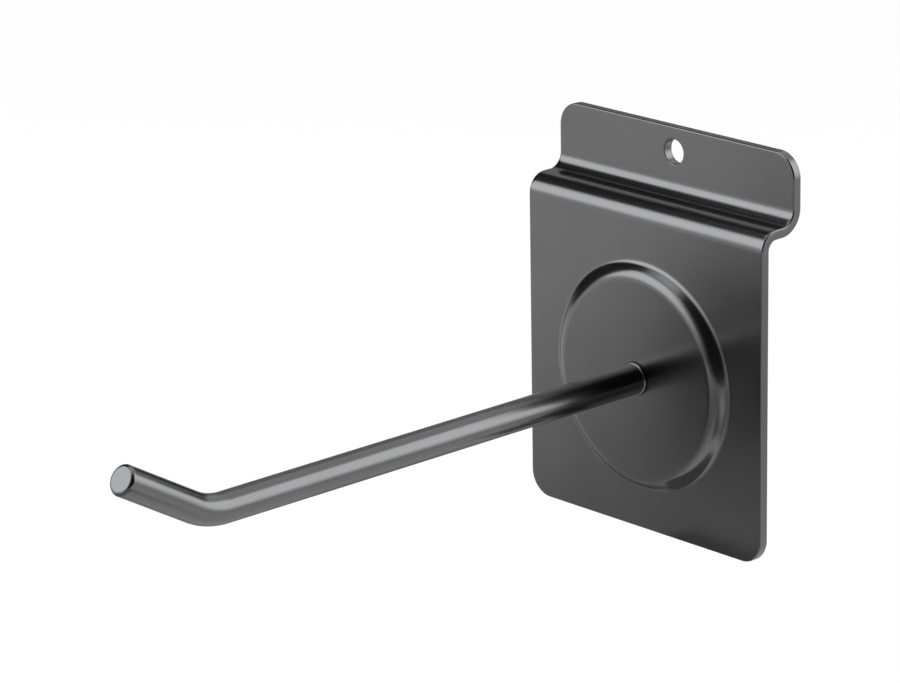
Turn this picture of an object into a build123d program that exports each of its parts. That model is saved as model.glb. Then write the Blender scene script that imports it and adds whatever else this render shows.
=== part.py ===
from build123d import *
import math
import os

# Slatwall holder: a stepped and embossed sheet steel backplate with a wire rod riveted to its centre.
#
# Frame: millimetres, +Z up. The rod's axis runs along -Y through the origin. The plane y = 0 is the
# face of the slatwall panel, against which the back of the plate rests, so the lip lies at y > 0.

# Sheet steel blank
SHEET = 2.0
PLATE_WIDTH = 63.0
PLATE_HEIGHT = 80.0
CORNER_RADIUS = 5.0
RIM_CHAMFER = 0.3

# Stepped top: the lip stands behind the slat, the step passes through the slot under it
LIP_HEIGHT = 13.5
SLAT_ROOM = 6.7
LIP_BEND_RADIUS = 3.0
PLATE_BEND_RADIUS = 2.0

# Round hole in the lip
LIP_HOLE_DIAMETER = 5.0
LIP_HOLE_DROP = 5.0

# Raised disc around the rod, and the recess that pressing it leaves in the back
ROD_HEIGHT = 31.5
EMBOSS_DIAMETER = 45.9
EMBOSS_RISE = 2.2
EMBOSS_DRAFT = 40.0
EMBOSS_SHOULDER_RADIUS = 3.0
EMBOSS_FOOT_RADIUS = 1.5
EMBOSS_WALL = 1.9
RECESS_MOUTH_CHAMFER = 0.75

# Rod
ROD_DIAMETER = 6.0
ROD_RUN = 112.5
TIP_LEG = 22.0
TIP_ANGLE = 30.0
ROD_BEND_RADIUS = 15.0
ROD_END_ROUND = 0.8

# Root of the rod: a ring against the disc, a neck through it and a spread head behind it
RING_DIAMETER = 6.6
RING_LENGTH = 0.6
RING_CHAMFER = 0.2
NECK_DIAMETER = 4.4
NECK_CLEARANCE = 0.05
HEAD_DIAMETER = 9.0
HEAD_THICKNESS = 1.5
HEAD_ROUND = 1.0

# Places that follow from the sizes above
plate_bottom = -ROD_HEIGHT
lip_top = plate_bottom + PLATE_HEIGHT
step_top = lip_top - LIP_HEIGHT
lip_front = SLAT_ROOM
lip_back = SLAT_ROOM + SHEET
lip_hole_height = lip_top - LIP_HOLE_DROP
disc_front = -(SHEET + EMBOSS_RISE)
disc_back = -EMBOSS_RISE
emboss_draft = math.radians(EMBOSS_DRAFT)
recess_radius = EMBOSS_DIAMETER / 2 + SHEET * math.tan(emboss_draft) - EMBOSS_WALL / math.cos(emboss_draft)


def side_view():
    """The closed side view of the bent sheet, in the YZ plane, with concentric bends."""
    front_and_back = [
        (0, -SHEET, plate_bottom),
        (0, -SHEET, step_top),
        (0, lip_front, step_top),
        (0, lip_front, lip_top),
        (0, lip_back, lip_top),
        (0, lip_back, step_top - SHEET),
        (0, 0, step_top - SHEET),
        (0, 0, plate_bottom),
    ]
    bend_radii = [
        0,
        PLATE_BEND_RADIUS + SHEET,
        LIP_BEND_RADIUS,
        0,
        0,
        LIP_BEND_RADIUS + SHEET,
        PLATE_BEND_RADIUS,
        0,
    ]
    return FilletPolyline(*front_and_back, radius=bend_radii, close=True)


def bent_sheet():
    """The stepped blank with its four rounded corners and its eased rim, before pressing."""
    blank = extrude(make_face(side_view()), amount=PLATE_WIDTH / 2, both=True)
    through = blank.edges().filter_by(Axis.Y)
    blank = fillet(through.group_by(Axis.Z)[0] + through.group_by(Axis.Z)[-1], CORNER_RADIUS)
    return chamfer(rim_edges(blank), RIM_CHAMFER)


def rim_edges(blank):
    """The edges all round the front and the back of the blank, without its smooth seams."""
    seams_through = blank.edges().filter_by(Axis.Y)
    seams_across = blank.edges().filter_by(Axis.X)
    seams_across = seams_across.filter_by(lambda edge: edge.length > PLATE_WIDTH - CORNER_RADIUS)
    return blank.edges().filter_by(lambda edge: edge not in seams_through + seams_across)


def floor_radius(mouth_radius, depth):
    """The radius at the floor of a dish whose wall leans in by the emboss's draft."""
    return mouth_radius - depth * math.tan(emboss_draft)


def make_emboss():
    """The raised disc, flared into the plate's front at its foot and rounded at its shoulder."""
    foot = EMBOSS_DIAMETER / 2
    margin = foot + 3 * EMBOSS_FOOT_RADIUS
    inside_sheet = -SHEET / 2
    front = FilletPolyline(
        (margin, -SHEET, 0),
        (foot, -SHEET, 0),
        (floor_radius(foot, EMBOSS_RISE), disc_front, 0),
        (0, disc_front, 0),
        radius=[EMBOSS_FOOT_RADIUS, EMBOSS_SHOULDER_RADIUS],
    )
    closing = Polyline(
        (0, disc_front, 0),
        (0, inside_sheet, 0),
        (margin, inside_sheet, 0),
        (margin, -SHEET, 0),
    )
    return revolve(make_face(front + closing), axis=Axis.Y)


def make_recess():
    """The space that pressing the disc leaves in the back, with its mouth eased."""
    mouth = recess_radius + RECESS_MOUTH_CHAMFER
    section = Polyline(
        (0, disc_back, 0),
        (floor_radius(recess_radius, EMBOSS_RISE), disc_back, 0),
        (floor_radius(recess_radius, RECESS_MOUTH_CHAMFER), -RECESS_MOUTH_CHAMFER, 0),
        (mouth, 0, 0),
        (mouth, SHEET, 0),
        (0, SHEET, 0),
        close=True,
    )
    return revolve(make_face(section), axis=Axis.Y)


def y_cylinder(diameter, start_y, length):
    """A cylinder about the rod's axis that starts at one plane and runs along +Y."""
    circle = Plane.XZ.offset(-start_y) * Circle(diameter / 2)
    return extrude(circle, amount=-length)


def make_backplate():
    """The folded, embossed and punched sheet."""
    neck_hole = y_cylinder(NECK_DIAMETER + 2 * NECK_CLEARANCE, disc_front - SHEET, 3 * SHEET)
    lip_hole = Pos(0, 0, lip_hole_height) * y_cylinder(LIP_HOLE_DIAMETER, lip_front - SHEET, 3 * SHEET)
    return bent_sheet() + make_emboss() - make_recess() - neck_hole - lip_hole


def rod_axis():
    """The rod's centre line: a straight run out of the disc and a shorter leg that turns up."""
    bend = Vector(0, -ROD_RUN, 0)
    tip = bend + Vector(0, -TIP_LEG, 0).rotate(Axis.X, -TIP_ANGLE)
    return FilletPolyline((0, disc_front, 0), bend, tip, radius=[ROD_BEND_RADIUS])


def make_rod():
    """The bent wire with its rounded end, its ring at the disc, and its riveted neck and head."""
    axis = rod_axis()
    wire = sweep(Plane.XZ.offset(-disc_front) * Circle(ROD_DIAMETER / 2), path=axis)
    wire = fillet(wire.edges().group_by(Axis.Y)[0], ROD_END_ROUND)
    ring = y_cylinder(RING_DIAMETER, disc_front - RING_LENGTH, RING_LENGTH)
    ring = chamfer(ring.edges().filter_by(GeomType.CIRCLE), RING_CHAMFER)
    neck = y_cylinder(NECK_DIAMETER, disc_front, SHEET)
    head = y_cylinder(HEAD_DIAMETER, disc_back, HEAD_THICKNESS)
    head = fillet(head.edges().group_by(Axis.Y)[-1], HEAD_ROUND)
    return wire + ring + neck + head


os.makedirs("parts", exist_ok=True)
export_step(make_backplate(), "parts/backplate.step")
export_step(make_rod(), "parts/rod.step")
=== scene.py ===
"""A slatwall holder in black nickel: its pressed backplate, its bent wire rod and the studio round them.

Unless a docstring says otherwise, the classes' fields give lengths in metres and angles in degrees.
"""

import logging
import math
from dataclasses import dataclass
from enum import Enum
from typing import Any, Callable, Iterable, Optional, Union

import bmesh
import bpy
from mathutils import Matrix, Vector


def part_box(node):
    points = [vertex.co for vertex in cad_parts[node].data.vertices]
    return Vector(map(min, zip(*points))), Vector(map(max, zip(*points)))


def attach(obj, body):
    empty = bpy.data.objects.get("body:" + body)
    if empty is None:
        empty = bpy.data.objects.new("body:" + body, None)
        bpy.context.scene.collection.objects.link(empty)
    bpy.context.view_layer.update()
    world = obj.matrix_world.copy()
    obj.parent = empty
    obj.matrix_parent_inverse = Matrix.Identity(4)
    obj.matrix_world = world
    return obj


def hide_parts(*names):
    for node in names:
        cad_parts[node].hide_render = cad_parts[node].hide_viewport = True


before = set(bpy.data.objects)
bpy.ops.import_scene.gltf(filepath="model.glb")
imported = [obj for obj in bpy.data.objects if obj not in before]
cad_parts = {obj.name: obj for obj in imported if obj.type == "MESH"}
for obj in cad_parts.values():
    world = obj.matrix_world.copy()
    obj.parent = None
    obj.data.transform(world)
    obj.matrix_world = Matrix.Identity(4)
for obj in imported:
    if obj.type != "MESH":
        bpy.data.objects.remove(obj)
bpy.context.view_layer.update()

log = logging.getLogger("slatwall_holder")

Point = tuple[float, float]
Ramp = tuple[Point, ...]
Colour = tuple[float, float, float]
Test = Callable[[list[Vector]], bool]

MM = 0.001
TINY = 0.001 * MM
BLANK = "place_on_blank"

ACROSS = Vector((1, 0, 0))
OUTWARDS = Vector((0, -1, 0))
UP = Vector((0, 0, 1))

WHITE: Colour = (1.0, 1.0, 1.0)
EVEN: Ramp = ((0.0, 1.0), (1.0, 1.0))
MIDDLE_OF_NOISE = 0.5


def opaque(colour: Colour) -> tuple[float, float, float, float]:
    """A colour with the full alpha that Blender's colour sockets ask for."""
    return (*colour, 1.0)


def feathered(full_from: float, full_to: float) -> Ramp:
    """A ramp that rises from 0 at one end and falls back to 0 at the other.

    Args:
        full_from: The place at which it has risen to 1.
        full_to: The place from which it falls again.

    Returns:
        The ramp's places and values.
    """
    return ((0.0, 0.0), (full_from, 1.0), (full_to, 1.0), (1.0, 0.0))


def rounded_path(corners: list[Point], radii: list[float], turn_per_step: float = 7.0) -> list[Point]:
    """Rounds the inner corners of a line of straight runs with tangent arcs.

    Args:
        corners: The points of the sharp line, its two ends among them.
        radii: The radius at each inner corner, with 0 where it stays sharp.
        turn_per_step: The largest turn, in degrees, between two neighbouring points of an arc.

    Returns:
        The points of the rounded line.
    """
    path = [corners[0]]
    for before, corner, after, radius in zip(corners, corners[1:], corners[2:], radii):
        if radius == 0.0:
            path.append(corner)
            continue
        here = Vector(corner)
        back = (Vector(before) - here).normalized()
        ahead = (Vector(after) - here).normalized()
        turn = math.pi - back.angle(ahead)
        setback = radius * math.tan(turn / 2)
        centre = here + (back + ahead).normalized() * math.hypot(radius, setback)
        first = here + back * setback - centre
        last = here + ahead * setback - centre
        steps = max(2, math.ceil(math.degrees(turn) / turn_per_step))
        for step in range(steps + 1):
            share = step / steps
            spoke = first * math.sin((1 - share) * turn) + last * math.sin(share * turn)
            path.append(tuple(centre + spoke / math.sin(turn)))
    path.append(corners[-1])
    return path


class Pick(Enum):
    """What an edit picks: vertices, edges or faces."""

    VERTICES = "verts"
    EDGES = "edges"
    FACES = "faces"


class Workpiece:
    """One mesh, with its object at the origin, that is shaped in edit mode by Blender's own operators."""

    def __init__(self, name: str) -> None:
        """Starts an empty mesh and opens it for editing.

        Args:
            name: The finished piece's name.
        """
        bpy.ops.object.select_all(action="DESELECT")
        self.body = bpy.data.objects.new(name, bpy.data.meshes.new(name))
        bpy.context.scene.collection.objects.link(self.body)
        bpy.context.view_layer.objects.active = self.body
        self.body.select_set(True)
        bpy.ops.object.mode_set(mode="EDIT")

    def pick(self, what: Pick, test: Test, sharper_than: float = 0.0) -> None:
        """Selects what passes a test on its corners' places, and nothing else.

        Args:
            what: Whether vertices, edges or faces are picked.
            test: Takes the places of an element's corners and says whether it is picked.
            sharper_than: For edges, the least angle in degrees at which their two faces meet, or 0 for any.
        """
        bpy.context.tool_settings.mesh_select_mode = tuple(what is kind for kind in Pick)
        bpy.ops.mesh.select_all(action="DESELECT")
        shape = bmesh.from_edit_mesh(self.body.data)
        shape.normal_update()
        for element in getattr(shape, what.value):
            if sharper_than and math.degrees(element.calc_face_angle(0.0)) < sharper_than:
                continue
            corners = [element] if what is Pick.VERTICES else element.verts
            element.select_set(test([corner.co for corner in corners]))
        shape.select_flush_mode()
        bmesh.update_edit_mesh(self.body.data)

    def outline(self, centre: Vector, width: float, height: float) -> None:
        """Adds a rectangle that stands across the sheet and faces outwards, and leaves it selected.

        Args:
            centre: The rectangle's centre.
            width: Its size across the sheet.
            height: Its size upwards.
        """
        bpy.ops.mesh.primitive_plane_add(size=1, location=centre, rotation=(math.pi / 2, 0, 0))
        bpy.ops.transform.resize(value=(width, 1, height), center_override=centre)

    def ring(self, centre: Vector, radius: float, points: int) -> None:
        """Adds a ring of edges round an axis that points outwards, and leaves it selected.

        Args:
            centre: The ring's centre.
            radius: Its radius.
            points: How many points it has.
        """
        quarter = (math.pi / 2, 0, 0)
        bpy.ops.mesh.primitive_circle_add(vertices=points, radius=radius, location=centre, rotation=quarter)

    def loft(self, stations: Iterable[Point], along: Vector, root: Vector = Vector()) -> None:
        """Extrudes the picked ring through stations on its axis.

        Args:
            stations: Radii and places along the axis. The first is the picked ring's own.
            along: The axis's direction.
            root: The point of the axis from which places are measured.
        """
        stations = list(stations)
        for (radius, place), (next_radius, next_place) in zip(stations, stations[1:]):
            size = next_radius / radius
            bpy.ops.mesh.extrude_edges_move()
            bpy.ops.transform.resize(value=(size, size, size), center_override=root + along * place)
            bpy.ops.transform.translate(value=along * (next_place - place))

    def merge(self) -> None:
        """Joins vertices that lie in one place."""
        bpy.ops.mesh.select_all(action="SELECT")
        bpy.ops.mesh.remove_doubles(threshold=TINY)

    def face_outwards(self) -> None:
        """Turns the faces of an open skin so that the widest looks the way of the rod's tip."""
        bpy.ops.mesh.select_all(action="SELECT")
        bpy.ops.mesh.normals_make_consistent(inside=False)
        shape = bmesh.from_edit_mesh(self.body.data)
        if max(shape.faces, key=lambda face: face.calc_area()).normal.dot(OUTWARDS) < 0:
            bpy.ops.mesh.flip_normals()

    def modify(self, kind: str, **settings: Union[float, bool, str]) -> None:
        """Adds a modifier and applies it.

        Args:
            kind: The modifier's type.
            **settings: The values that it is given.
        """
        editing = self.body.mode == "EDIT"
        bpy.ops.object.mode_set(mode="OBJECT")
        modifier = self.body.modifiers.new(kind.lower(), kind)
        for name, value in settings.items():
            setattr(modifier, name, value)
        bpy.ops.object.modifier_apply(modifier=modifier.name)
        if editing:
            bpy.ops.object.mode_set(mode="EDIT")

    def note_blank(self, unbend: Callable[[Vector], Vector]) -> None:
        """Notes on each vertex where it lay on the blank, for the grain to follow.

        Args:
            unbend: Takes a vertex's place and gives its place before bending.
        """
        bpy.ops.object.mode_set(mode="OBJECT")
        mesh = self.body.data
        places = mesh.attributes.new(BLANK, "FLOAT_VECTOR", "POINT")
        for vertex, place in zip(mesh.vertices, places.data):
            place.vector = unbend(vertex.co)
        bpy.ops.object.mode_set(mode="EDIT")

    def finish(self, smooth_below: float = 35.0) -> bpy.types.Object:
        """Closes the mesh, turns its faces outwards and shades it smooth with its flats kept flat.

        Args:
            smooth_below: The angle, in degrees, above which an edge stays sharp.

        Returns:
            The finished object.
        """
        self.merge()
        bpy.ops.mesh.normals_make_consistent(inside=False)
        bpy.ops.object.mode_set(mode="OBJECT")
        bpy.ops.object.shade_smooth_by_angle(angle=math.radians(smooth_below))
        self.modify("WEIGHTED_NORMAL", keep_sharp=True)
        return self.body


class Signal:
    """A node's output, or a chain of Math nodes on it, that is used in Python expressions."""

    def __init__(self, graph: "Graph", socket: bpy.types.NodeSocket) -> None:
        """Holds a socket of a graph."""
        self.graph = graph
        self.socket = socket

    def combine(self, operation: str, first: "Value", second: "Value") -> "Signal":
        """A Math node on two values, at least one of which is a signal."""
        return self.graph.node("ShaderNodeMath", {"operation": operation}, {0: first, 1: second})

    def __add__(self, other: "Value") -> "Signal":
        """This plus a value."""
        return self.combine("ADD", self, other)

    __radd__ = __add__

    def __sub__(self, other: "Value") -> "Signal":
        """This less a value."""
        return self.combine("SUBTRACT", self, other)

    def __rsub__(self, other: "Value") -> "Signal":
        """A value less this."""
        return self.combine("SUBTRACT", other, self)

    def __mul__(self, other: "Value") -> "Signal":
        """This times a value."""
        return self.combine("MULTIPLY", self, other)

    __rmul__ = __mul__

    def __or__(self, other: "Value") -> "Signal":
        """The larger of this and a value, which is either for masks."""
        return self.combine("MAXIMUM", self, other)

    __ror__ = __or__


Value = Union[Signal, float]


class Graph:
    """The nodes of one material or world."""

    def __init__(self, tree: bpy.types.NodeTree) -> None:
        """Empties a node tree.

        Args:
            tree: The tree that the graph's nodes are made in.
        """
        tree.nodes.clear()
        self.tree = tree

    def node(
        self,
        kind: str,
        settings: Optional[dict[str, Any]] = None,
        inputs: Optional[dict[Union[str, int], Any]] = None,
        output: Union[str, int] = 0,
    ) -> Signal:
        """Makes one node.

        Args:
            kind: The node's type.
            settings: Its own settings. The key stops is a ramp's places and grey values.
            inputs: The value or signal of each of its sockets, by name or number.
            output: Which of its outputs is given back.

        Returns:
            The chosen output, or the first input of a node that has no outputs.
        """
        settings = dict(settings or {})
        stops = settings.pop("stops", ())
        made = self.tree.nodes.new(kind)
        for name, setting in settings.items():
            setattr(made, name, setting)
        for number, (place, grey) in enumerate(stops):
            ramp = made.color_ramp.elements
            stop = ramp[number] if number < len(ramp) else ramp.new(place)
            stop.position = place
            stop.color = opaque((grey, grey, grey))
        for name, value in (inputs or {}).items():
            if isinstance(value, Signal):
                self.tree.links.new(value.socket, made.inputs[name])
            else:
                made.inputs[name].default_value = value
        return Signal(self, made.outputs[output] if made.outputs else made.inputs[0])

    def ramp(self, stops: Ramp, value: Signal) -> Signal:
        """The grey of a ramp at a value."""
        return self.node("ShaderNodeValToRGB", {"stops": stops}, {0: value})

    def tint(self, colour: Colour, tone: Signal) -> Signal:
        """Multiplies a colour by a grey tone.

        Args:
            colour: The colour that a white tone leaves as it is.
            tone: The tone.

        Returns:
            The toned colour.
        """
        # The numbers of a Mix node's factor and of its sockets for colours
        share, first, second, result = 0, 6, 7, 2
        settings = {"data_type": "RGBA", "blend_type": "MULTIPLY"}
        inputs = {share: 1.0, first: opaque(colour), second: tone}
        return self.node("ShaderNodeMix", settings, inputs, result)

    def blend(self, share: Value, first: Signal, second: Signal) -> Signal:
        """Two surfaces or lights in one, with a share of the second."""
        return self.node("ShaderNodeMixShader", inputs={0: share, 1: first, 2: second})

    def looked_at(self) -> Signal:
        """A mask of what is seen by the camera, in a mirror or through glass, and not lit from."""
        seen, mirrored, through = (
            self.node("ShaderNodeLightPath", output=kind)
            for kind in ("Is Camera Ray", "Is Glossy Ray", "Is Transmission Ray")
        )
        return seen | mirrored | through


def new_material(name: str, shade: Callable[[Graph], Signal]) -> bpy.types.Material:
    """Makes a material of nodes.

    Args:
        name: The material's name.
        shade: Makes the material's nodes in a graph and gives back its surface.

    Returns:
        The material.
    """
    made = bpy.data.materials.new(name)
    made.use_nodes = True
    graph = Graph(made.node_tree)
    graph.node("ShaderNodeOutputMaterial", inputs={"Surface": shade(graph)})
    return made


class Grain(Enum):
    """Which way a blank was worked, and so the way its grain runs: across the sheet or along the wire.

    A value scales the noise along the blank's three axes, and is least along the grain.
    """

    ROLLED = (0.12, 1.0, 1.0)
    DRAWN = (1.0, 0.15, 1.0)


@dataclass(frozen=True)
class BlackNickel:
    """Black nickel plate on steel: a dark mirror with a faint haze, over the grain of the blank."""

    name: str
    grain: Grain
    grain_depth: float
    grain_size: float = 0.35 * MM
    grain_detail: float = 4.0
    cloud_size: float = 14.0 * MM
    cloud_detail: float = 3.0
    noise_roughness: float = 0.55
    colour: Colour = (0.146, 0.146, 0.1465)
    tone: Ramp = ((0.3, 0.93), (0.7, 1.0))
    roughness: float = 0.205
    haze: float = 0.03

    def material(self) -> bpy.types.Material:
        """Makes the plate's material."""
        return new_material(self.name, self.shade)

    def shade(self, graph: Graph) -> Signal:
        """Makes the plate's look: clouds in its colour and haze, and lines of grain in its relief.

        Args:
            graph: The material's graph.

        Returns:
            The surface, with its clouds placed on the piece and its grain on the blank before it was bent.
        """
        place = graph.node("ShaderNodeTexCoord", output="Object")
        clouds = self.noise(graph, place, self.cloud_size, self.cloud_detail)
        blank = graph.node("ShaderNodeAttribute", {"attribute_name": BLANK}, output="Vector")
        stretch = {"Vector": blank, "Scale": self.grain.value}
        along_grain = graph.node("ShaderNodeMapping", {"vector_type": "POINT"}, stretch)
        lines = self.noise(graph, along_grain, self.grain_size, self.grain_detail)
        relief = {"Strength": 1.0, "Distance": self.grain_depth, "Height": lines}
        bump = graph.node("ShaderNodeBump", inputs=relief)
        surface = {
            "Base Color": graph.tint(self.colour, graph.ramp(self.tone, clouds)),
            "Metallic": 1.0,
            "Roughness": self.roughness + (clouds - MIDDLE_OF_NOISE) * self.haze,
            "Normal": bump,
        }
        return graph.node("ShaderNodeBsdfPrincipled", inputs=surface)

    def noise(self, graph: Graph, place: Signal, size: float, detail: float) -> Signal:
        """A noise pattern of a given size.

        Args:
            graph: The material's graph.
            place: The coordinates that it is read at.
            size: The distance over which it changes.
            detail: How many finer octaves it has.

        Returns:
            The noise, about its middle.
        """
        inputs = {"Vector": place, "Scale": 1 / size, "Detail": detail, "Roughness": self.noise_roughness}
        return graph.node("ShaderNodeTexNoise", inputs=inputs)


@dataclass
class Backplate:
    """The stepped sheet: plate, step and lip, its embossed disc and its two round holes."""

    sheet: float = 2.0 * MM
    corner_radius: float = 5.0 * MM
    rim_round: float = 0.32 * MM
    rim_angle: float = 60.0
    plate_bend: float = 2.0 * MM
    lip_bend: float = 3.0 * MM
    lip_height: float = 13.5 * MM
    hole_diameter: float = 5.0 * MM
    hole_drop: float = 5.0 * MM
    hole_round: float = 0.15 * MM
    emboss_diameter: float = 45.8 * MM
    emboss_draft: float = 42.0
    emboss_foot: float = 1.6 * MM
    emboss_shoulder: float = 3.4 * MM
    emboss_wall: float = 1.9 * MM
    neck_hole_diameter: float = 4.5 * MM
    opening_radius: float = 25.0 * MM
    border: float = 1.0 * MM
    ring_points: int = 240
    hole_points: int = 96
    bend_steps: int = 18
    corner_steps: int = 20
    rim_steps: int = 5

    def __post_init__(self) -> None:
        """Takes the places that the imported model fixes."""
        low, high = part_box("backplate")
        self.half_width = high.x
        self.bottom, self.top = low.z, high.z
        self.disc_front = -low.y
        self.lip_front = high.y - self.sheet
        self.step_top = high.z - self.lip_height
        self.hole_centre = Vector((0, self.lip_front, high.z - self.hole_drop))

    def build(self) -> bpy.types.Object:
        """Models the sheet as it is made: cut, bent, given its thickness, pressed and eased at its rims.

        Returns:
            The finished sheet.
        """
        piece = Workpiece("pressed_backplate")
        self.draw_front(piece)
        piece.face_outwards()
        piece.modify("SOLIDIFY", thickness=self.sheet, offset=-1.0, use_even_offset=True)
        self.press_disc(piece)
        self.ease_rims(piece)
        piece.note_blank(lambda place: place)
        return piece.finish()

    def draw_front(self, piece: Workpiece) -> None:
        """Draws the sheet's front skin: plate, bend, step, bend and lip, with its openings.

        Args:
            piece: The empty workpiece, in edit mode.
        """
        plate_top = self.step_top - self.plate_bend - self.sheet
        lip_foot = self.step_top + self.lip_bend
        step_start, step_end = self.plate_bend, self.lip_front - self.lip_bend
        self.draw_flat(piece, -self.sheet, self.bottom, plate_top, self.bottom)
        self.cut_round(piece, Vector((0, -self.sheet, 0)), self.opening_radius, self.ring_points)
        self.turn(piece, -self.sheet, plate_top, Vector((0, step_start, plate_top)), 90.0)
        piece.pick(Pick.EDGES, self.line_across(step_start, self.step_top))
        bpy.ops.mesh.extrude_edges_move(TRANSFORM_OT_translate={"value": (0, step_end - step_start, 0)})
        self.turn(piece, step_end, self.step_top, Vector((0, step_end, lip_foot)), -90.0)
        self.draw_flat(piece, self.lip_front, lip_foot, self.top, self.top)
        piece.merge()
        self.cut_round(piece, self.hole_centre, self.hole_diameter / 2, self.hole_points)
        bpy.ops.mesh.select_all(action="SELECT")
        bpy.ops.mesh.normals_make_consistent(inside=False)
        bpy.ops.mesh.inset(thickness=self.border, use_boundary=True, use_even_offset=True)

    def draw_flat(self, piece: Workpiece, y: float, low: float, high: float, rounded: float) -> None:
        """Draws an upright flat of the sheet's width, with two of its corners rounded.

        Args:
            piece: The workpiece.
            y: The plane that the flat lies in.
            low: Its lower end.
            high: Its upper end.
            rounded: The height of the end whose corners are rounded.
        """
        centre = Vector((0, y, (low + high) / 2))
        piece.outline(centre, 2 * self.half_width, high - low)
        piece.pick(Pick.VERTICES, self.line_across(y, rounded))
        bpy.ops.mesh.bevel(
            affect="VERTICES", offset=self.corner_radius, segments=self.corner_steps, clamp_overlap=False
        )

    def cut_round(self, piece: Workpiece, centre: Vector, radius: float, points: int) -> None:
        """Gives an upright flat a round opening.

        Args:
            piece: The workpiece, with the flat as one face.
            centre: The opening's centre, in the flat's plane.
            radius: The opening's radius.
            points: How many points its edge has.
        """
        in_plane = self.in_plane(centre.y)
        piece.pick(Pick.FACES, in_plane)
        bpy.ops.mesh.delete(type="ONLY_FACE")
        piece.ring(centre, radius, points)
        piece.pick(Pick.EDGES, in_plane)
        bpy.ops.mesh.fill()

    def turn(self, piece: Workpiece, y: float, z: float, centre: Vector, angle: float) -> None:
        """Turns a bend out of a line across the sheet.

        Args:
            piece: The workpiece.
            y: The line's depth.
            z: The line's height.
            centre: A point on the bend's axis.
            angle: The bend's angle in degrees, above 0 where the sheet turns to the wall.
        """
        piece.pick(Pick.EDGES, self.line_across(y, z))
        bpy.ops.mesh.spin(steps=self.bend_steps, angle=math.radians(angle), center=centre, axis=ACROSS)

    def press_disc(self, piece: Workpiece) -> None:
        """Presses the disc and its recess into the plate, with the hole for the rod's neck.

        Args:
            piece: The workpiece, which has its thickness and a round opening.
        """
        draft = math.radians(self.emboss_draft)
        slant = math.tan(draft)
        rise = self.disc_front - self.sheet
        foot = self.emboss_diameter / 2
        mouth = foot + self.sheet * slant - self.emboss_wall / math.cos(draft)
        neck = self.neck_hole_diameter / 2
        front = rounded_path(
            [
                (self.opening_radius, self.sheet),
                (foot, self.sheet),
                (foot - rise * slant, self.disc_front),
                (neck, self.disc_front),
            ],
            [self.emboss_foot, self.emboss_shoulder],
        )
        back = rounded_path(
            [
                (neck, rise),
                (mouth - rise * slant, rise),
                (mouth, 0.0),
                (self.opening_radius, 0.0),
            ],
            [self.emboss_foot, self.emboss_foot + self.emboss_wall],
        )
        at_opening = self.at_radius(self.opening_radius)
        in_front = self.in_plane(-self.sheet)
        piece.pick(Pick.FACES, at_opening)
        bpy.ops.mesh.delete(type="FACE")
        piece.pick(Pick.EDGES, lambda corners: at_opening(corners) and in_front(corners))
        piece.loft(front + back, OUTWARDS)
        piece.merge()
        bpy.ops.mesh.normals_make_consistent(inside=False)

    def ease_rims(self, piece: Workpiece) -> None:
        """Rounds the sheet's outer rim and, by less, the rims of its holes.

        A rim is an edge at which two faces meet at rim_angle or more.

        Args:
            piece: The closed workpiece.
        """
        in_a_hole = self.near_hole()
        piece.pick(Pick.EDGES, lambda corners: not in_a_hole(corners), self.rim_angle)
        self.round_picked(self.rim_round)
        piece.pick(Pick.EDGES, in_a_hole, self.rim_angle)
        self.round_picked(self.hole_round)

    def round_picked(self, radius: float) -> None:
        """Rounds the picked edges."""
        bpy.ops.mesh.bevel(affect="EDGES", offset=radius, segments=self.rim_steps, clamp_overlap=False)

    @staticmethod
    def in_plane(y: float) -> Test:
        """A test for what lies in one upright plane."""
        return lambda corners: all(abs(corner.y - y) < TINY for corner in corners)

    @staticmethod
    def line_across(y: float, z: float) -> Test:
        """A test for what lies on one line across the sheet."""
        return lambda corners: all(
            abs(corner.y - y) < TINY and abs(corner.z - z) < TINY for corner in corners
        )

    @staticmethod
    def at_radius(radius: float) -> Test:
        """A test for what lies at one distance from the rod's axis."""
        return lambda corners: all(
            abs(math.hypot(corner.x, corner.z) - radius) < TINY for corner in corners
        )

    def near_hole(self) -> Test:
        """A test for what lies at the lip's hole or within the opening that the disc fills."""
        hole_reach = self.hole_diameter / 2 + self.border / 2
        return lambda corners: all(
            math.hypot(corner.x, corner.z) < self.opening_radius
            or math.hypot(corner.x, corner.z - self.hole_centre.z) < hole_reach
            for corner in corners
        )


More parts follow.
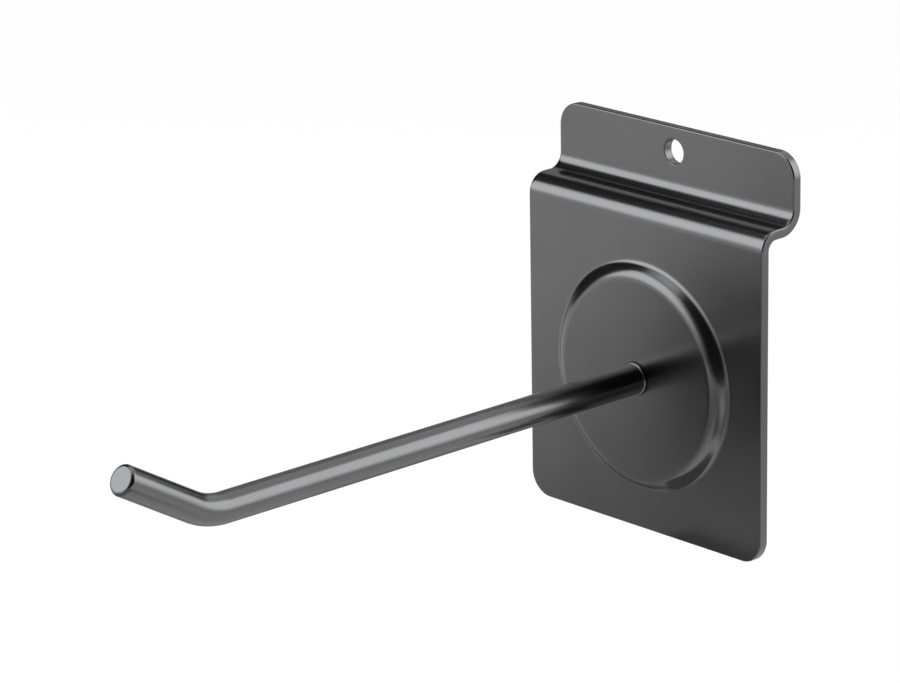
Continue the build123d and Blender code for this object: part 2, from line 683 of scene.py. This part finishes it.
@dataclass
class WireRod:
    """The bent wire: its straight run, its turned up tip, its ring, and its riveted neck and head.

    The flat of an end starts flat_inset times its rim's radius in from the side.
    """

    diameter: float = 6.0 * MM
    run: float = 112.5 * MM
    tip_leg: float = 22.0 * MM
    tip_angle: float = 30.0
    bend_radius: float = 15.0 * MM
    end_round: float = 0.8 * MM
    disc_front: float = 4.2 * MM
    disc_back: float = 2.2 * MM
    ring_diameter: float = 6.8 * MM
    ring_length: float = 0.7 * MM
    ring_round: float = 0.32 * MM
    neck_diameter: float = 4.4 * MM
    head_diameter: float = 9.0 * MM
    head_round: float = 1.0 * MM
    flat_inset: float = 1.5
    wire_points: int = 128
    bend_steps: int = 24

    def __post_init__(self) -> None:
        """Takes the head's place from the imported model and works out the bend, its angle in radians."""
        self.head_back = -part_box("rod")[1].y
        self.bend_angle = math.radians(self.tip_angle)
        self.setback = self.bend_radius * math.tan(self.bend_angle / 2)
        self.bend_start = self.run - self.setback
        self.bend_centre = OUTWARDS * self.bend_start + UP * self.bend_radius
        self.tip_along = Vector((0, -math.cos(self.bend_angle), math.sin(self.bend_angle)))
        self.corner = OUTWARDS * self.run

    def build(self) -> bpy.types.Object:
        """Models the wire from its head to its tip.

        Returns:
            The finished wire.
        """
        piece = Workpiece("bent_wire_rod")
        root = self.root_stations()
        piece.ring(OUTWARDS * root[0][1], root[0][0], self.wire_points)
        bpy.ops.mesh.edge_face_add()
        piece.pick(Pick.EDGES, lambda corners: True)
        piece.loft(root, OUTWARDS)
        bpy.ops.mesh.spin(
            steps=self.bend_steps, angle=self.bend_angle, center=self.bend_centre, axis=ACROSS
        )
        piece.loft(self.tip_stations(), self.tip_along, self.corner)
        bpy.ops.mesh.edge_face_add()
        piece.note_blank(self.unbend)
        return piece.finish()

    def unbend(self, place: Vector) -> Vector:
        """Turns a place of the bent wire back to where it lay on the straight one.

        Args:
            place: A place on the bent wire.

        Returns:
            The same place on the wire before it was bent.
        """
        arm = place - self.bend_centre
        turned = min(max(math.atan2(-arm.y, -arm.z), 0.0), self.bend_angle)
        straight = self.bend_centre + Matrix.Rotation(turned, 3, ACROSS) @ arm
        return straight + OUTWARDS * self.bend_radius * turned

    def root_stations(self) -> list[Point]:
        """Lays out the wire from its head to the start of its bend.

        Returns:
            The radii and places of its rings.
        """
        wire, ring = self.diameter / 2, self.ring_diameter / 2
        neck, head = self.neck_diameter / 2, self.head_diameter / 2
        ring_front = self.disc_front + self.ring_length
        corners = [
            (head - self.flat_inset * self.head_round, self.head_back),
            (head, self.head_back),
            (head, self.disc_back),
            (neck, self.disc_back),
            (neck, self.disc_front),
            (ring, self.disc_front),
            (ring, ring_front),
            (wire, ring_front),
            (wire, self.bend_start),
        ]
        radii = [self.head_round, 0.0, 0.0, 0.0, self.ring_round, self.ring_round, 0.0]
        return rounded_path(corners, radii)

    def tip_stations(self) -> list[Point]:
        """Lays out the wire from the end of its bend to its tip's flat end.

        Returns:
            The radii and places of its rings.
        """
        wire = self.diameter / 2
        flat = wire - self.flat_inset * self.end_round
        corners = [(wire, self.setback), (wire, self.tip_leg), (flat, self.tip_leg)]
        return rounded_path(corners, [self.end_round])


@dataclass
class Camera:
    """The photograph's viewpoint, with its lens and its sensor in millimetres."""

    azimuth: float = 47.38
    elevation: float = 17.35
    roll: float = -0.98
    distance: float = 825.88 * MM
    target: tuple[float, float, float] = (-27.898 * MM, -27.236 * MM, 6.688 * MM)
    lens: float = 169.224
    sensor: float = 36.0

    def build(self) -> None:
        """Makes the scene's camera."""
        azimuth, elevation = math.radians(self.azimuth), math.radians(self.elevation)
        roll = Matrix.Rotation(math.radians(self.roll), 3, "Z")
        flat = math.cos(elevation)
        away = Vector((math.sin(azimuth) * flat, -math.cos(azimuth) * flat, math.sin(elevation)))
        place = Matrix.Translation(Vector(self.target) + away * self.distance)
        turn = (-away).to_track_quat("-Z", "Y").to_matrix() @ roll
        data = bpy.data.cameras.new("camera")
        data.lens, data.sensor_width, data.sensor_fit = self.lens, self.sensor, "HORIZONTAL"
        camera = bpy.data.objects.new("camera", data)
        camera.matrix_world = place @ turn.to_4x4()
        bpy.context.scene.collection.objects.link(camera)
        bpy.context.scene.camera = camera


@dataclass(frozen=True)
class Card:
    """A flat card of the studio: a softbox where it glows, and a black or grey card where it does not.

    A card stands upright and faces the object, or lies level, with a depth of its own, where its foot and
    its top are at one height. A softbox's glow, and another card's cover, fade along ramps across it and
    up it.
    """

    name: str
    azimuth: float
    distance: float
    width: float
    foot: float
    top: float
    glow: float = 0.0
    across: Ramp = EVEN
    upwards: Ramp = EVEN
    depth: float = 1.0
    twist: float = 0.0
    grey: float = 0.03
    daylight: Colour = (0.98, 0.99, 1.02)

    def build(self) -> None:
        """Makes the card, unseen by the camera."""
        level = self.foot == self.top
        azimuth = math.radians(self.azimuth)
        centre = (
            math.sin(azimuth) * self.distance,
            -math.cos(azimuth) * self.distance,
            (self.foot + self.top) / 2,
        )
        rotation = (0.0 if level else math.pi / 2, 0, azimuth + math.radians(self.twist))
        bpy.ops.object.select_all(action="DESELECT")
        bpy.ops.mesh.primitive_plane_add(size=1, location=centre, rotation=rotation)
        card = bpy.context.object
        card.name = self.name
        card.scale = (self.width, self.depth if level else self.top - self.foot, 1)
        card.visible_camera = False
        # A card that does not glow is seen only in reflections and lights and shades nothing; the grey of
        # the floor cards and of the near and under flags is painted shade there
        card.visible_shadow = card.visible_diffuse = self.glow > 0.0
        card.data.materials.append(new_material(self.name, self.shade))

    def shade(self, graph: Graph) -> Signal:
        """Makes the card's look, faded along its two ramps.

        Args:
            graph: The material's graph.

        Returns:
            A softbox's glow, or another card's grey: black cloth on a flag, and painted shade on the floor
            cards and the near and under flags.
        """
        place = graph.node("ShaderNodeTexCoord", output="Generated")
        across = graph.node("ShaderNodeSeparateXYZ", inputs={0: place}, output="X")
        upwards = graph.node("ShaderNodeSeparateXYZ", inputs={0: place}, output="Y")
        fade = graph.ramp(self.across, across) * graph.ramp(self.upwards, upwards)
        if self.glow:
            light = {"Color": graph.tint(self.daylight, fade), "Strength": self.glow}
            return graph.node("ShaderNodeEmission", inputs=light)
        clear = graph.node("ShaderNodeBsdfTransparent")
        cloth_and_painted_shade = graph.node("ShaderNodeBsdfDiffuse", inputs={"Color": opaque((self.grey,) * 3)})
        return graph.blend(fade, clear, cloth_and_painted_shade)


@dataclass
class Studio:
    """The pale floor, the white ground, and the softboxes, black flags and grey cards round the object.

    The grey cards that lie on the floor, and the near and under flags, are painted shade that only the
    object's reflections show. The floor cards lie a millimetre above one another, because where two overlap
    in one plane it is left to chance which of them covers.
    """

    floor_height: float = -120.0 * MM
    floor_size: float = 16.0
    floor_colour: Colour = (0.95, 0.95, 0.95)
    floor_white: float = 0.7
    world_light: float = 0.78
    cards: tuple[Card, ...] = (
        Card(
            "key_softbox", azimuth=-23.5, distance=0.85, width=1.35, foot=-0.118, top=0.88, glow=3.05,
            across=((0.0, 1.0), (0.42, 1.0), (0.6, 0.85), (0.7, 0.5), (0.8, 0.12), (1.0, 0.02)),
            upwards=((0.0, 0.36), (0.16, 0.36), (0.32, 0.95), (0.45, 1.0), (0.85, 1.0), (1.0, 0.6)),
        ),
        Card(
            "top_softbox", azimuth=-50.0, distance=0.45, width=0.9, depth=0.7, foot=1.2, top=1.2, glow=1.6,
        ),
        Card(
            "back_softbox", azimuth=139.0, distance=1.2, width=1.17, foot=-0.1, top=1.27, glow=2.9,
            across=((0.0, 1.0), (0.8, 1.0), (1.0, 0.6)),
            upwards=((0.0, 0.5), (0.12, 0.8), (0.25, 1.0), (1.0, 1.0)),
        ),
        Card("right_flag", azimuth=55.0, distance=1.0, width=2.9, foot=-0.12, top=3.0),
        Card("left_flag", azimuth=-90.0, distance=1.3, width=1.44, foot=-0.12, top=2.4),
        Card("back_flag", azimuth=-166.5, distance=1.5, width=1.2, foot=-0.12, top=0.55),
        Card(
            "left_grey_card", azimuth=-132.0, distance=1.3, width=0.62, foot=-0.12, top=1.3, grey=0.28,
            upwards=((0.0, 1.0), (0.4, 1.0), (0.6, 0.75), (1.0, 0.75)),
        ),
        # A dark card close in front of the plate, seen only in reflections: painted shade on the plate, to
        # the right of the disc and low down
        Card(
            "near_shade_flag", azimuth=-32.1, twist=-6.1, distance=0.1267, width=0.087, foot=-0.095, top=0.02,
            across=((0.0, 0.0), (0.22, 0.06), (0.28, 0.2), (0.365, 1.0), (1.0, 0.95)),
            upwards=(
                (0.0, 0.0), (0.25, 0.15), (0.42, 1.0), (0.57, 1.0), (0.67, 0.7), (0.78, 0.2), (1.0, 0.05),
            ),
        ),
        # Grey cards on the floor, seen only in the object's reflections: painted shade of the floor, darker
        # where it would lie in the object's shadow and in shade
        Card(
            "painted_floor_shade", azimuth=16.8, twist=-36.8, distance=0.325,
            width=0.81, depth=0.68, foot=-0.118, top=-0.118, grey=0.37,
            across=feathered(0.12, 0.9),
            upwards=((0.0, 0.0), (0.15, 1.0), (0.6, 1.0), (0.76, 0.0), (1.0, 0.0)),
        ),
        Card(
            "rear_painted_floor_shade", azimuth=-125.7, twist=125.7, distance=0.197,
            width=0.38, depth=0.37, foot=-0.117, top=-0.117, grey=0.2,
            across=feathered(0.25, 0.75), upwards=feathered(0.25, 0.75),
        ),
        Card(
            "side_painted_floor_shade", azimuth=129.0, distance=0.43,
            width=0.34, depth=0.3, foot=-0.116, top=-0.116, grey=0.65,
            across=feathered(0.3, 0.7), upwards=feathered(0.3, 0.7),
        ),
        Card(
            "near_painted_floor_shade", azimuth=42.7, distance=0.2185,
            width=0.1, depth=0.223, foot=-0.115, top=-0.115, grey=0.25,
            across=feathered(0.25, 0.75), upwards=feathered(0.3, 0.9),
        ),
        Card(
            "left_painted_floor_shade", azimuth=-54.5, twist=54.5, distance=0.1154,
            width=0.132, depth=0.145, foot=-0.114, top=-0.114, grey=0.4,
            across=feathered(0.2, 0.72), upwards=feathered(0.2, 0.8),
        ),
        # A small dark card just below the plate, seen only in reflections: painted shade on the lower right
        # of the disc's wall
        Card(
            "under_shade_flag", azimuth=63.4, twist=-63.4, distance=0.0157,
            width=0.028, depth=0.015, foot=-0.035, top=-0.035, grey=0.3,
        ),
    )

    def build(self) -> None:
        """Makes the floor, the cards and the world."""
        self.lay_floor()
        for card in self.cards:
            card.build()
        self.light_world()

    def lay_floor(self) -> None:
        """Makes the floor, level under the object."""
        bpy.ops.object.select_all(action="DESELECT")
        bpy.ops.mesh.primitive_plane_add(size=self.floor_size, location=(0, 0, self.floor_height))
        floor = bpy.context.object
        floor.name = "floor"
        floor.data.materials.append(new_material("pale_floor", self.shade_floor))

    def shade_floor(self, graph: Graph) -> Signal:
        """Makes the floor's look: pale, and whiter still where it is looked at or mirrored.

        Args:
            graph: The material's graph.

        Returns:
            The floor's surface.
        """
        paint = graph.node("ShaderNodeBsdfDiffuse", inputs={"Color": opaque(self.floor_colour)})
        white = graph.node("ShaderNodeEmission", inputs={"Color": opaque(WHITE), "Strength": 1.0})
        return graph.blend(graph.looked_at() * self.floor_white, paint, white)

    def light_world(self) -> None:
        """Makes the world's even light, which is looked at as plain white."""
        world = bpy.data.worlds.new("studio")
        bpy.context.scene.world = world
        world.use_nodes = True
        graph = Graph(world.node_tree)
        light, white = (
            graph.node("ShaderNodeBackground", inputs={"Color": opaque(WHITE), "Strength": strength})
            for strength in (self.world_light, 1.0)
        )
        ground = graph.blend(graph.looked_at(), light, white)
        graph.node("ShaderNodeOutputWorld", inputs={"Surface": ground})


def dress(piece: bpy.types.Object, finish: BlackNickel, node: str) -> None:
    """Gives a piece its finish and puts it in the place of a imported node.

    Args:
        piece: The finished piece.
        finish: Its finish.
        node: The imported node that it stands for.
    """
    piece.data.materials.append(finish.material())
    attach(piece, "root")
    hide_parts(node)
    log.info("%s: %d faces, in place of %s", piece.name, len(piece.data.polygons), node)


def main() -> None:
    """Builds the holder and its studio."""
    logging.basicConfig(level=logging.INFO)
    bpy.context.scene.view_settings.view_transform = "Standard"
    Camera().build()
    Studio().build()
    sheet_finish = BlackNickel("plated_sheet", Grain.ROLLED, grain_depth=0.0006 * MM)
    wire_finish = BlackNickel("plated_wire", Grain.DRAWN, grain_depth=0.006 * MM)
    dress(Backplate().build(), sheet_finish, "backplate")
    dress(WireRod().build(), wire_finish, "rod")


if __name__ == "__main__":
    main()
